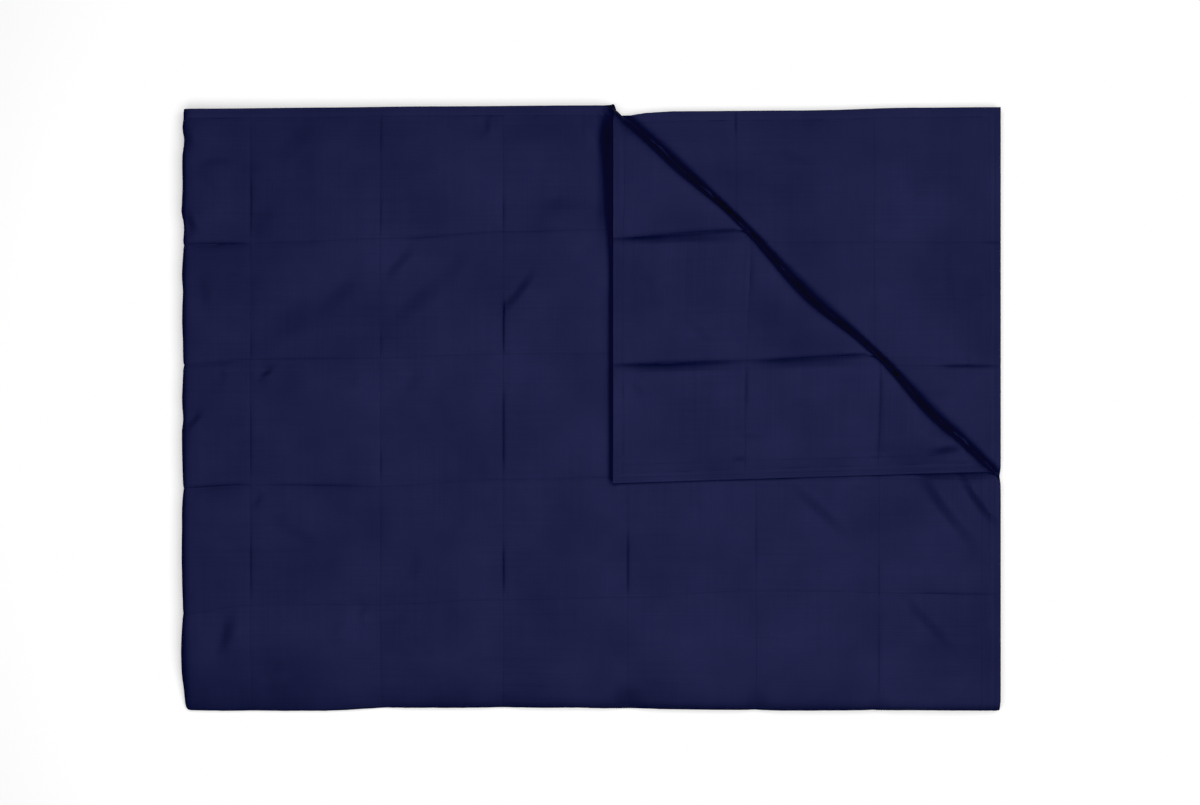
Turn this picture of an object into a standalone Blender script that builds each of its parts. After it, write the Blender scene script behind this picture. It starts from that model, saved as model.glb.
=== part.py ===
"""A weighted blanket, quilted in squares, folded in half twice, with one corner of its top layer turned back.

The blanket is made flat first: a grid of filled squares, full in the middle of each square and thin along
its seams, inside a turned hem. The flat quilt is then folded. Its left half goes under its right half, the
near half of that pair goes under the far half, and the top layer's free corner is turned back.

Metres, +Z up. The origin is on the floor under the middle of the folded blanket. +X points to the free edges
on the right, and +Y to the free edges on the far side.
"""
import bpy
import bmesh
from math import cos, pi, sin
from mathutils import Vector

NAME = "blanket"

# The quilt's cloth and filling.
CROWN = 0.007            # thickness in the middle of a filled square
SEAM = 0.002             # thickness where the two panels are sewn together
HEM_THICKNESS = 0.003    # thickness of the turned edge outside the first row of stitches
HEM_WIDTH = 0.012
SHOULDER = 0.038         # from a seam to where a square has its full thickness

# The folded blanket. Heights are those of the middle of each layer.
FOLDED_RIGHT = 0.5077    # x of the top layer's free edge
FOLDED_FAR = 0.3745      # y of the top layer's free edge
LAYER_PITCH = 0.0082     # from one layer to the next
BOTTOM_HEIGHT = CROWN / 2.0
TOP_HEIGHT = BOTTOM_HEIGHT + 3.0 * LAYER_PITCH
LEFT_AXIS_X = -0.5002    # the first fold turns about a line along Y at this x
NEAR_AXIS_Y = -0.3617    # the second fold turns about a line along X at this y

# The bends. Their radii are those of the middle of the sheet.
LEFT_RADIUS = LAYER_PITCH / 2.0
NEAR_RADIUS = 1.5 * LAYER_PITCH
LEFT_STEPS = 6
NEAR_STEPS = 8

# Column widths, from the top layer's free edge to the second layer's free edge.
COLUMN_WIDTHS = (0.151, 0.152, 0.159, 0.154, 0.152, 0.161, 0.144, 0.157, 0.157, 0.157, 0.157, 0.172, 0.157)
QUILT_WIDTH = sum(COLUMN_WIDTHS)
FOLD_AT = FOLDED_RIGHT - LEFT_AXIS_X

# Row seams, as distances from the far hem: at the top layer's free edge, at the left fold and at the second
# layer's free edge. The seam between the two halves runs along the outside of the second fold.
UPPER_ROWS = (
    (0.154, 0.169, 0.167),
    (0.310, 0.318, 0.321),
    (0.461, 0.470, 0.476),
    (0.607, 0.627, 0.629),
)
LOWER_ROWS = (
    (0.905, 0.908, 0.910),
    (1.055, 1.058, 1.060),
    (1.205, 1.207, 1.209),
    (1.355, 1.356, 1.357),
)

# Free edges along the far side: (distance across the quilt, y). The second layer dips where the top one
# lifts off it.
FAR_EDGE = (
    (0.00, 0.3745), (0.50, 0.3766), (0.70, 0.3754), (0.85, 0.3739), (0.98, 0.3726),
    (1.45, 0.3700), (1.56, 0.3645), (1.61, 0.3700), (1.79, 0.3711), (1.92, 0.3745), (2.03, 0.3752),
)
LOWEST_EDGE = ((0.00, 0.3690), (0.60, 0.3660), (1.02, 0.3640), (1.50, 0.3655), (2.03, 0.3635))
UNDER_HALF_NARROWS = 0.008    # the under half is this much narrower at its hem, as a share of its width

# How far the folded edges are drawn in: (y along the left fold, inwards) and (x along the near fold,
# inwards).
LEFT_DRAWN_IN = (
    (-0.375, 0.0016), (-0.290, -0.0010), (-0.240, 0.0006), (0.190, 0.0012),
    (0.240, -0.0010), (0.277, 0.0019), (0.333, -0.0010), (0.375, 0.0002),
)
NEAR_DRAWN_IN = (
    (-0.508, 0.0010), (-0.470, 0.0000), (-0.340, 0.0004), (-0.238, 0.0036),
    (-0.026, 0.0042), (0.045, 0.0024), (0.204, 0.0003), (0.360, 0.0012), (0.508, 0.0006),
)
DRAWN_IN_REACH = 0.090

# The near fold is fuller towards the left: (x, how much higher it stands, as a share of its height) and (x,
# how much further its rounding reaches inwards).
NEAR_SWELL = ((-0.508, 0.14), (-0.340, 0.22), (-0.200, 0.12), (0.000, 0.05), (0.300, 0.00))
SWELL_REACH = 0.160
NEAR_ROUNDER = ((-0.508, 0.006), (-0.340, 0.008), (-0.180, 0.005), (0.000, 0.002), (0.200, 0.000))
ROUNDING = 0.016
ROUNDER_REACH = 0.120

# The four layers come closer together at their free edges, where the hems hold no filling.
EDGE_PRESS = 0.25
EDGE_REACH = 0.050

# The turned corner. The sheet bends about a line between two points of its outline. The bend is open in the
# squares and pinched where it crosses seams: (distance along the crease, radius).
CREASE_FAR_END = Vector((0.0293, 0.3750))
CREASE_RIGHT_END = Vector((0.5086, -0.0807))
CREASE_RADIUS = (
    (0.000, 0.0080), (0.095, 0.0110), (0.208, 0.0055), (0.318, 0.0090),
    (0.446, 0.0055), (0.545, 0.0090), (0.662, 0.0070),
)
CREASE_ALONG = (CREASE_RIGHT_END - CREASE_FAR_END).normalized()
CREASE_ACROSS = Vector((-CREASE_ALONG.y, CREASE_ALONG.x))
CORNER = Vector((FOLDED_RIGHT, FOLDED_FAR))
CORNER_REACH = (CORNER - CREASE_FAR_END).dot(CREASE_ACROSS)
CORNER_SHIFT = Vector((-0.0251, 0.0075))    # how far the cloth's shear carries the turned corner
CREASE_CUTS = (-0.017, -0.0115, -0.006, 0.0, 0.006, 0.0115, 0.017, 0.040, 0.066)
SETTLE_LENGTH = 0.070    # beyond the bend, the corner comes down to lie on the top layer in this length

NAVY = (0.0123, 0.0144, 0.0533, 1.0)
ROUGHNESS = 0.85


def clear_scene():
    for item in list(bpy.data.objects):
        bpy.data.objects.remove(item, do_unlink=True)


def smooth_step(share):
    """Rise from 0 to 1 with level ends."""
    share = min(max(share, 0.0), 1.0)
    return share * share * (3.0 - 2.0 * share)


def read_table(table, place):
    """Read a two-column table at a place, with smooth stretches between its rows."""
    if place <= table[0][0]:
        return table[0][1]
    for (start, first), (end, second) in zip(table, table[1:]):
        if place <= end:
            return first + (second - first) * smooth_step((place - start) / (end - start))
    return table[-1][1]


def fill_rise(distance):
    """How full the quilt is at a distance from a seam, from 0 to 1."""
    return sin(0.5 * pi * min(distance / SHOULDER, 1.0))


def lines_between(seams, bend):
    """Place the lines of one direction: hem edges, seams, shoulders and the lines of a bend.

    Each line is a pair: its place, and how full the quilt is there. None stands for the hem edge.
    """
    lines = [(seams[0] - HEM_WIDTH, None)]
    for start, end in zip(seams, seams[1:]):
        inner = [start + SHOULDER, end - SHOULDER]
        inner += [place for place in bend if start + 0.001 < place < end - 0.001]
        lines.append((start, 0.0))
        lines += [(place, fill_rise(min(place - start, end - place))) for place in sorted(inner)]
    lines.append((seams[-1], 0.0))
    lines.append((seams[-1] + HEM_WIDTH, None))
    return lines


def column_lines():
    """Lines across the width, from the top layer's free edge to the second layer's."""
    seams = [HEM_WIDTH]
    place = 0.0
    for width in COLUMN_WIDTHS[:-1]:
        place += width
        seams.append(place)
    seams.append(QUILT_WIDTH - HEM_WIDTH)
    bend = [FOLD_AT + pi * LEFT_RADIUS * step / LEFT_STEPS for step in range(LEFT_STEPS + 1)]
    return lines_between(seams, bend)


def row_lines(across):
    """Lines down the length at one distance across the width, as distances from y = FOLDED_FAR."""
    def at_width(row):
        edge, fold, other = row
        if across < FOLD_AT:
            return edge + (fold - edge) * across / FOLD_AT
        return fold + (other - fold) * (across - FOLD_AT) / (QUILT_WIDTH - FOLD_AT)

    bend_start = FOLDED_FAR - NEAR_AXIS_Y
    bend = [bend_start + pi * NEAR_RADIUS * step / NEAR_STEPS for step in range(NEAR_STEPS + 1)]
    far_hem = FOLDED_FAR - read_table(FAR_EDGE, across)
    near_hem = bend_start + pi * NEAR_RADIUS + read_table(LOWEST_EDGE, across) - NEAR_AXIS_Y
    seams = [far_hem + HEM_WIDTH]
    seams += [at_width(row) for row in UPPER_ROWS]
    seams.append(bend[NEAR_STEPS // 2])
    seams += [at_width(row) for row in LOWER_ROWS]
    seams.append(near_hem - HEM_WIDTH)
    return lines_between(seams, bend)


def thickness(column_fill, row_fill):
    if column_fill is None or row_fill is None:
        return HEM_THICKNESS
    return SEAM + (CROWN - SEAM) * column_fill * row_fill


def flat_quilt():
    """Model the quilt flat, as one closed slab with its front up and the middle of the sheet at z = 0."""
    columns = column_lines()
    columns.reverse()
    rows = [row_lines(across) for across, fill in columns]
    row_count = len(rows[0])
    mesh = bmesh.new()
    bmesh.ops.create_grid(mesh, x_segments=len(columns) - 1, y_segments=row_count - 1, size=0.5)
    for index, vertex in enumerate(mesh.verts):
        row_index, column_index = divmod(index, len(columns))
        across, column_fill = columns[column_index]
        down, row_fill = rows[column_index][row_count - 1 - row_index]
        back_height = -0.5 * thickness(column_fill, row_fill)
        vertex.co = (FOLDED_RIGHT - across, FOLDED_FAR - down, back_height)
    extruded = bmesh.ops.extrude_face_region(mesh, geom=mesh.faces[:])
    for item in extruded["geom"]:
        if isinstance(item, bmesh.types.BMVert):
            item.co.z = -item.co.z
    bmesh.ops.recalc_face_normals(mesh, faces=mesh.faces[:])
    return mesh


def cut_along_crease(mesh):
    """Add edges across the free corner, side by side along the crease, so that it can bend there."""
    for offset in CREASE_CUTS:
        place = CREASE_FAR_END + offset * CREASE_ACROSS
        everything = mesh.verts[:] + mesh.edges[:] + mesh.faces[:]
        bmesh.ops.bisect_plane(
            mesh, geom=everything, dist=1e-7, plane_co=place.to_3d(), plane_no=CREASE_ACROSS.to_3d())
    crowded = [face for face in mesh.faces if len(face.verts) > 4]
    bmesh.ops.triangulate(mesh, faces=crowded)


def turn_corner(point):
    """Bend the top layer's free corner up and over, and let it settle on the layer that it came from."""
    from_far_end = point.xy - CREASE_FAR_END
    along = from_far_end.dot(CREASE_ALONG)
    past_middle = from_far_end.dot(CREASE_ACROSS)
    radius = read_table(CREASE_RADIUS, along)
    bend_start = -0.5 * pi * radius
    if past_middle < bend_start or point.x < LEFT_AXIS_X:
        return point
    angle = min((past_middle - bend_start) / radius, pi)
    beyond = max(past_middle + bend_start, 0.0)
    arm = radius - point.z
    across = bend_start + arm * sin(angle) - beyond
    height = radius - arm * cos(angle)
    height -= (2.0 * radius - LAYER_PITCH) * smooth_step(beyond / SETTLE_LENGTH)
    plan = CREASE_FAR_END + along * CREASE_ALONG + across * CREASE_ACROSS
    plan += CORNER_SHIFT * beyond / (CORNER_REACH + bend_start)
    return Vector((plan.x, plan.y, height))


def fold_left_under(point):
    """Fold all that is left of the first fold's axis under the rest. The top layer's middle is at z = 0."""
    past = LEFT_AXIS_X - point.x
    if past < 0.0:
        return point
    angle = min(past / LEFT_RADIUS, pi)
    beyond = max(past - pi * LEFT_RADIUS, 0.0)
    arm = LEFT_RADIUS + point.z
    return Vector((LEFT_AXIS_X - arm * sin(angle) + beyond, point.y, arm * cos(angle) - LEFT_RADIUS))


def fold_near_under(point):
    """Fold the near half of the pair of layers under the far half."""
    past = NEAR_AXIS_Y - point.y
    if past < 0.0:
        return point
    angle = min(past / NEAR_RADIUS, pi)
    beyond = max(past - pi * NEAR_RADIUS, 0.0)
    arm = NEAR_RADIUS + point.z
    narrower = 1.0 - UNDER_HALF_NARROWS * smooth_step(beyond / (FOLDED_FAR - NEAR_AXIS_Y))
    nearer = NEAR_AXIS_Y - arm * sin(angle) + beyond
    return Vector((point.x * narrower, nearer, arm * cos(angle) - NEAR_RADIUS))


def draw_in(point):
    """Give the two folded edges their uneven outlines, and the near one its fuller rounding on the left."""
    from_left = point.x + FOLDED_RIGHT
    from_near = point.y + FOLDED_FAR
    inwards = (1.0 - smooth_step(from_near / DRAWN_IN_REACH)) * read_table(NEAR_DRAWN_IN, point.x)
    rounder = smooth_step(from_near / ROUNDING) - smooth_step((from_near - ROUNDING) / ROUNDER_REACH)
    inwards += rounder * read_table(NEAR_ROUNDER, point.x)
    sideways = (1.0 - smooth_step(from_left / DRAWN_IN_REACH)) * read_table(LEFT_DRAWN_IN, point.y)
    return point + Vector((sideways, inwards, 0.0))


def height_share(point):
    """How high the stack of layers stands at a point of its plan, as a share of its usual height."""
    from_near = point.y + FOLDED_FAR
    from_free_edge = min(FOLDED_RIGHT - point.x, FOLDED_FAR - point.y)
    swell = read_table(NEAR_SWELL, point.x) * (1.0 - smooth_step(from_near / SWELL_REACH))
    press = EDGE_PRESS * (1.0 - smooth_step(from_free_edge / EDGE_REACH))
    return 1.0 + swell - press


def fold(mesh):
    for vertex in mesh.verts:
        point = fold_near_under(fold_left_under(turn_corner(vertex.co.copy())))
        point = draw_in(point)
        point.z = (point.z + TOP_HEIGHT) * height_share(point)
        vertex.co = point


def navy_cotton():
    material = bpy.data.materials.new("navy_cotton")
    material.use_nodes = True
    shader = material.node_tree.nodes["Principled BSDF"]
    shader.inputs["Base Color"].default_value = NAVY
    shader.inputs["Roughness"].default_value = ROUGHNESS
    shader.inputs["Metallic"].default_value = 0.0
    return material


def build():
    clear_scene()
    quilt = flat_quilt()
    cut_along_crease(quilt)
    fold(quilt)
    mesh = bpy.data.meshes.new(NAME)
    quilt.to_mesh(mesh)
    quilt.free()
    mesh.materials.append(navy_cotton())
    mesh.shade_smooth()
    collection = bpy.data.collections.new("weighted_blanket")
    bpy.context.scene.collection.children.link(collection)
    collection.objects.link(bpy.data.objects.new(NAME, mesh))


build()
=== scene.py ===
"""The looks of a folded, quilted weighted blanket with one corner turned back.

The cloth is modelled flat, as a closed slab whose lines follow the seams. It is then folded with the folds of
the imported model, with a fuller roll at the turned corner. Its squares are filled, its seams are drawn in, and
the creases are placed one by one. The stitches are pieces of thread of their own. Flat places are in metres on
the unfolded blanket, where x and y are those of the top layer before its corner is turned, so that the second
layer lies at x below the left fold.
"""
from math import cos, pi, radians, sin

import bmesh
import bpy
import numpy as np
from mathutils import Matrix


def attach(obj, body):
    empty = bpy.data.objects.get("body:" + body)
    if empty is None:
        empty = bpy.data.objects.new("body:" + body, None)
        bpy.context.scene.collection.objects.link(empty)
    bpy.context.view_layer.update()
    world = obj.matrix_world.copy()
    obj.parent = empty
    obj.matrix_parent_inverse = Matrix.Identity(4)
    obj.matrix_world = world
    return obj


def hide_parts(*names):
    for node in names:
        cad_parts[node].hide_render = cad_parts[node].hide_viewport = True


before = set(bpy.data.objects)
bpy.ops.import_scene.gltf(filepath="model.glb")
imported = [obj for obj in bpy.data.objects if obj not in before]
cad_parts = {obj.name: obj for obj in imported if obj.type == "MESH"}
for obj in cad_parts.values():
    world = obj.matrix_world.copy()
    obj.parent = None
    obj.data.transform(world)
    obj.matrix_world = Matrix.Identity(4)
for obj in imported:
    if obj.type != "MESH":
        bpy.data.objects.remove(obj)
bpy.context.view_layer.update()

# ---- the folded blanket, as packed

CROWN = 0.007  # thickness in the middle of a filled square
SEAM = 0.002  # thickness where the two panels are sewn together
HEM_WIDTH = 0.012
FOLDED_RIGHT = 0.5077  # x of the top layer's free edge
FOLDED_FAR = 0.3745  # y of the top layer's free edge
LAYER_PITCH = 0.0082  # from the middle of one layer to the next
TOP_HEIGHT = CROWN / 2.0 + 3.0 * LAYER_PITCH
LEFT_AXIS_X = -0.5002  # the first fold turns about a line at this x
NEAR_AXIS_Y = -0.3617  # and the second about one at this y
LEFT_RADIUS = LAYER_PITCH / 2.0
NEAR_RADIUS = 1.5 * LAYER_PITCH

# Column widths, from the top layer's free edge to the second layer's.
COLUMN_WIDTHS = (0.151, 0.152, 0.159, 0.154, 0.152, 0.161, 0.144, 0.157, 0.157, 0.157, 0.157, 0.172, 0.157)
QUILT_WIDTH = sum(COLUMN_WIDTHS)
FOLD_AT = FOLDED_RIGHT - LEFT_AXIS_X
BEND_START = FOLDED_FAR - NEAR_AXIS_Y
BEND_END = BEND_START + pi * NEAR_RADIUS

# Row seams: their distance from y = FOLDED_FAR, at each of ROW_STATIONS across from the top layer's free
# edge. In the upper half they wander as in the photo. Underneath they are straight.
ROW_STATIONS = (0.0, 0.303, 0.462, 0.616, 0.768, 0.929, FOLD_AT, QUILT_WIDTH)
UPPER_ROWS = (
    (0.155, 0.157, 0.152, 0.1544, 0.1634, 0.17, 0.171, 0.167),
    (0.31, 0.312, 0.306, 0.3063, 0.311, 0.313, 0.32, 0.321),
    (0.461, 0.4605, 0.4585, 0.462, 0.47, 0.4685, 0.4725, 0.476),
    (0.604, 0.599, 0.6076, 0.6105, 0.616, 0.617, 0.628, 0.629),
)
LOWER_STATIONS = (0.0, FOLD_AT, QUILT_WIDTH)
LOWER_ROWS = ((0.905, 0.908, 0.91), (1.055, 1.058, 1.06), (1.205, 1.207, 1.209), (1.355, 1.356, 1.357))

# The free edges along the far side: distance across from the top layer's free edge, and y.
FAR_EDGE = (
    (0.0, 0.3745), (0.5, 0.3766), (0.7, 0.3754), (0.85, 0.3739), (0.98, 0.3726),
    (1.45, 0.37), (1.56, 0.3645), (1.61, 0.37), (1.79, 0.3711), (1.92, 0.3745), (2.03, 0.3752),
)
LOWEST_EDGE = ((0.0, 0.369), (0.6, 0.366), (1.02, 0.364), (1.5, 0.3655), (2.03, 0.3635))
UNDER_HALF_NARROWS = 0.008  # the share by which the under half is narrower at its hem

# How far the folded edges are drawn in: y along the left fold, x along the near fold, and inwards.
LEFT_DRAWN_IN = (
    (-0.375, 0.0008), (-0.29, -0.0008), (-0.24, 0.0002), (0.19, 0.0006),
    (0.24, -0.0004), (0.277, 0.0006), (0.333, -0.0006), (0.375, -0.0002),
)
NEAR_DRAWN_IN = (
    (-0.508, 0.0004), (-0.47, -0.0006), (-0.34, -0.0006), (-0.238, 0.0034),
    (-0.026, 0.0038), (0.045, 0.0028), (0.15, 0.0016), (0.25, 0.0006), (0.36, 0.0012), (0.508, 0.0006),
)
DRAWN_IN_REACH = 0.09
# The near fold's rounding reaches further in towards the left: x, and how much further.
NEAR_ROUNDER = ((-0.508, 0.006), (-0.34, 0.008), (-0.18, 0.005), (0.0, 0.002), (0.2, 0.0))
ROUNDING = 0.016
ROUNDER_REACH = 0.12

# The share of its height that the stack loses at the near fold, along x, and how far in that reaches.
NEAR_FALL = ((-0.508, 0.7), (-0.34, 0.68), (-0.18, 0.54), (0.0, 0.4), (0.2, 0.2), (0.508, 0.05))
NEAR_FALL_REACH = ((-0.508, 0.125), (-0.34, 0.105), (-0.18, 0.066), (0.0, 0.05), (0.508, 0.034))
# It also loses a share at the left fold and at the free edges.
LEFT_FALL = 0.16
LEFT_FALL_REACH = 0.016
EDGE_PRESS = 0.18
EDGE_REACH = 0.05
# Beside the turned corner's left edge it sinks into a valley: a share along y, times a part of it across x.
VALLEY_ALONG = ((0.18, 0.0), (0.26, 0.5), (0.335, 0.54), (0.375, 0.2))
VALLEY_ACROSS = ((-0.006, 0.0), (0.004, 0.1), (0.025, 1.0), (0.0262, 0.0))
# Where the column seams meet the near fold it has dimples: x, their reach sideways, the share lost.
DIMPLES = (
    (-0.2613, 0.03, 0.16), (-0.1094, 0.028, 0.2), (0.045, 0.026, 0.3),
    (0.205, 0.02, 0.26), (0.356, 0.014, 0.14),
)
DIMPLE_START = 0.038  # how far from the fold's outline a dimple begins

# ---- the turned corner

# The sheet bends about a line between two points of its outline. The bend is open in the squares and
# pinched where it crosses seams: distance along the line, and radius.
LINE_START = np.array((0.0293, 0.375))
LINE_END = np.array((0.5086, -0.0807))
ROLL_RADIUS = (
    (0.0, 0.0135), (0.1, 0.015), (0.206, 0.0065), (0.33, 0.0148),
    (0.446, 0.0065), (0.545, 0.0138), (0.662, 0.0095),
)
# How far the roll lies past the line, and over what distance beyond it that turns into its mirror image.
ROLL_COURSE = (
    (0.0, 0.0046), (0.095, 0.006), (0.206, 0.0034), (0.342, 0.0006),
    (0.446, 0.0016), (0.534, 0.0002), (0.662, 0.0),
)
COURSE_LENGTH = 0.09
ROLL_BELOW = 0.35  # height of the roll's lower quarter, and of its upper one, over its radius in plan
ROLL_ABOVE = 1.6
ALONG_LINE = (LINE_END - LINE_START) / np.linalg.norm(LINE_END - LINE_START)
ACROSS_LINE = np.array((-ALONG_LINE[1], ALONG_LINE[0]))
CORNER = np.array((FOLDED_RIGHT, FOLDED_FAR))
CORNER_REACH = float((CORNER - LINE_START) @ ACROSS_LINE)
CORNER_SHIFT = np.array((-0.0251, 0.0075))  # how far the cloth's shear carries the turned corner
SETTLE_LENGTH = 0.07  # beyond the bend, the corner comes down to lie on the top layer in this length

# Along the roll's foot the layers under it dip: distance along the line, and reach beyond the roll.
FOOT_REACH = (
    (0.0, 0.013), (0.095, 0.0138), (0.206, 0.0086), (0.342, 0.0156),
    (0.446, 0.0086), (0.534, 0.0146), (0.662, 0.011),
)
FOOT_UNDER = 0.014  # how far the dip reaches under the roll
FOOT_DEPTH = 0.0074  # how deep the second layer dips, and how deep the third
THIRD_DIPS = 0.0022
FOOT_SINKS = 0.38  # the share of its height that the whole stack loses there
FOOT_UNDER_ROLL = 0.8  # how far that reaches under the roll, over its radius

# The turned cloth lifts a little over HEM_CURL from its far hem. It sinks over SIDE_HEM_REACH from its side
# hem, and does so fully where it lies SIDE_HEM_START or more beyond the bend.
HEM_STANDS_UP = 0.0022
HEM_CURL = 0.022
SIDE_HEM_SINKS = 0.003
SIDE_HEM_REACH = 0.034
SIDE_HEM_START = 0.03

# It has crept along x, by distances from its side hem, and along y, by x. Over EASE_REACH across the line,
# centred on it, this comes in.
EASE_REACH = 0.024
TURNED_EASE = ((0.0, -0.0035), (0.151, -0.002), (0.303, -0.0095), (0.462, 0.0))
FAR_EASE = (
    (0.034, 0.0053), (0.06, 0.0086), (0.09, 0.0082), (0.12, 0.007), (0.15, 0.0052),
    (0.18, 0.0034), (0.21, 0.0024), (0.28, 0.002),
)

# ---- the cloth's own detail

HEM_EDGE = 0.0012  # thickness at the very edge of the turned hem
HEM_THICKNESS = 0.003
HEM_ROUNDING = 0.0024  # how far from its edge the hem has its full thickness
HEM_FALL_START = 0.0085  # where it begins to thin down to its seam, and over what distance
HEM_FALL = 0.0035
EDGE_LINE = 0.0024  # how far from the hem's edge its outer line of stitches is drawn in
EDGE_LINE_REACH = 0.0009
EDGE_LINE_DEPTH = 0.0011
CHANNEL = 0.0055  # how far from a seam its narrow channel reaches
SHOULDER = 0.045  # how far from a seam a square reaches its full thickness
CHANNEL_SHARE = 0.2  # the share of the filling's rise that lies in the channel, and how much it varies
CHANNEL_VARIES = 0.35
CHANNEL_SIZE = 0.045
THINNEST = 0.0012  # the least distance between the cloth's two sides where its back shows
HEM_MARGIN = 1e-5

# The unevenness of the filled squares, as layers of noise: height, size, angle, seed.
SWELLS = (
    (0.0007, 0.062, 0.0, 21),
    (0.0003, 0.024, 0.0, 22),
    (0.0004, (0.06, 0.014), radians(48.0), 23),
)
SWELL_START = 0.03  # how far from a seam it has its full height
RIPPLES = 0.00028  # ripples at right angles to a seam, beside it
RIPPLE_LENGTH = 0.03
RIPPLE_WIDTH = 0.0085
RIPPLE_REACH = 0.009
HEM_RIPPLES = 0.0003
HEM_RIPPLE_SIZE = 0.011
HEM_RIPPLE_START = 0.004
LATTICE = 64  # random heights each way in a layer of noise, before they repeat
FADE = 0.014  # over what distance detail dies away where another layer hides it
TURN_FADE = 0.004  # and where the corner begins to turn over
NEAR_BEND_SHOWN = 0.7  # the share of the near and the left bend that shows from above
LEFT_BEND_SHOWN = 0.6

# Distances of modelled lines from a seam, and from the hem's edge.
FINE_OFFSETS = (0.0008, 0.0025, 0.006, 0.0125, 0.025, 0.045)
COARSE_OFFSETS = (0.012, 0.038)
HEM_OFFSETS = (0.0, 0.0008, 0.0016, 0.0024, 0.0034, 0.0098)
GROOVE_OFFSETS = (-0.002, 0.0, 0.0012, 0.003, 0.006, 0.01, 0.016)
COLUMNS_SHOWN = 7  # the top layer's columns, with that of the left fold
SECOND_COLUMN_SHOWN = 10  # the first of the second layer's columns that shows
LINE_GAP = 0.001  # from the lines of a bend to those of a square
GROOVE_GAP = 0.0008  # from the lines beside the turned corner to all others
LEFT_STEPS = 6
NEAR_STEPS = 8
ROLL_CUTS = np.arange(-0.027, 0.0271, 0.006)  # lines along the roll, across from its middle

# The longest that an edge of the mesh may be where the cloth shows, and the reach of each finer band.
PLAIN_EDGE = 0.0092
ROLL_EDGE = 0.0032  # in the turned corner's roll and at its foot
UNDER_EDGE = 0.0042  # under the roll's foot, on the second layer's hidden side and on the third layer
BEND_EDGE = 0.0022  # across the left fold
CREASE_EDGE = 0.22  # times the reach of a crease, in it
CREASE_BAND = 0.6  # times the reach of a crease, on either side of its middle
ROLL_BAND = 0.028
FOOT_MARGIN = 0.006
LEFT_BEND_MARGIN = 0.004
CUTTING_ROUNDS = 5
ON_SEAM = 2e-5  # within this of a seam's line, a vertex is on it

# Creases as seen from above: start, end, how far the middle bows to the left, how wide the steep band is,
# and how far the cloth drops across it, from a soft ridge on its left to a soft trough on its right.
TOP_CREASES = (
    # The far left square and its folded edge
    (-0.424, 0.304, -0.495, 0.305, -0.002, 0.012, 0.0024),
    (-0.5, 0.25, -0.486, 0.212, 0.0, 0.0144, 0.006),
    (-0.508, 0.356, -0.488, 0.318, 0.0, 0.0168, 0.0054),
    (-0.482, 0.17, -0.47, 0.118, 0.0, 0.0168, 0.0033),
    (-0.49, 0.29, -0.452, 0.262, 0.002, 0.0192, 0.0036),
    (-0.427, 0.166, -0.453, 0.168, 0.0, 0.0084, 0.0018),
    (-0.476, 0.004, -0.506, -0.03, 0.002, 0.012, 0.0054),
    (-0.462, 0.052, -0.446, 0.038, 0.0, 0.012, 0.0021),
    # The second column
    (-0.386, 0.254, -0.422, 0.214, 0.0, 0.029, 0.0054),
    (-0.33, 0.352, -0.394, 0.306, 0.0, 0.03, 0.0048),
    (-0.326, 0.324, -0.372, 0.276, 0.0, 0.0336, 0.0045),
    (-0.292, 0.14, -0.44, 0.056, -0.008, 0.05, 0.0136),
    (-0.254, 0.171, -0.342, 0.114, -0.006, 0.027, 0.0058),
    (-0.388, 0.051, -0.414, 0.037, 0.0, 0.0096, 0.0045),
    (-0.286, 0.056, -0.296, 0.018, 0.0, 0.0144, 0.0021),
    (-0.4, -0.102, -0.422, -0.124, 0.0, 0.011, 0.0028),
    (-0.408, -0.124, -0.316, -0.174, -0.004, 0.0192, 0.0033),
    (-0.272, -0.242, -0.292, -0.26, 0.0, 0.012, 0.003),
    (-0.372, -0.318, -0.41, -0.35, 0.0, 0.018, 0.0045),
    (-0.298, -0.254, -0.328, -0.288, 0.0, 0.0156, 0.0024),
    (-0.442, -0.238, -0.464, -0.324, 0.003, 0.022, 0.0092),
    # The third column
    (-0.209, 0.206, -0.262, 0.152, -0.002, 0.0168, 0.0066),
    (-0.162, 0.173, -0.268, 0.084, -0.003, 0.03, 0.0092),
    (-0.148, 0.196, -0.184, 0.153, 0.0, 0.0204, 0.0036),
    (-0.204, 0.056, -0.232, 0.012, 0.0, 0.0168, 0.003),
    (-0.134, -0.1, -0.184, -0.168, 0.0, 0.0288, 0.0045),
    (-0.208, -0.164, -0.232, -0.226, 0.003, 0.0192, 0.0036),
    (-0.209, -0.246, -0.264, -0.27, 0.0, 0.0204, 0.0033),
    (-0.127, 0.372, -0.129, 0.33, 0.0, 0.0108, 0.0042),
    # Between the third seam and the turned corner
    (-0.075, 0.27, -0.11, 0.309, 0.0, 0.018, 0.0033),
    (0.026, 0.256, -0.092, 0.246, -0.002, 0.0264, 0.0075),
    (-0.062, 0.186, -0.123, 0.108, 0.004, 0.015, 0.0072),
    (-0.014, 0.366, 0.008, 0.318, -0.004, 0.0132, 0.0039),
    # Under the turned corner's near edge
    (0.118, -0.104, 0.155, -0.132, 0.0, 0.018, 0.0024),
    (0.232, -0.078, 0.334, -0.172, 0.0, 0.019, 0.0094),
    (0.306, -0.094, 0.36, -0.1, 0.0, 0.0156, 0.0036),
    (0.434, -0.195, 0.374, -0.09, -0.004, 0.0192, 0.0033),
    (0.492, -0.186, 0.392, -0.056, 0.005, 0.021, 0.014),
    (0.524, -0.16, 0.446, -0.056, 0.009, 0.016, 0.013),
    (0.47, -0.322, 0.368, -0.212, 0.0, 0.019, 0.0084),
)
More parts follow.
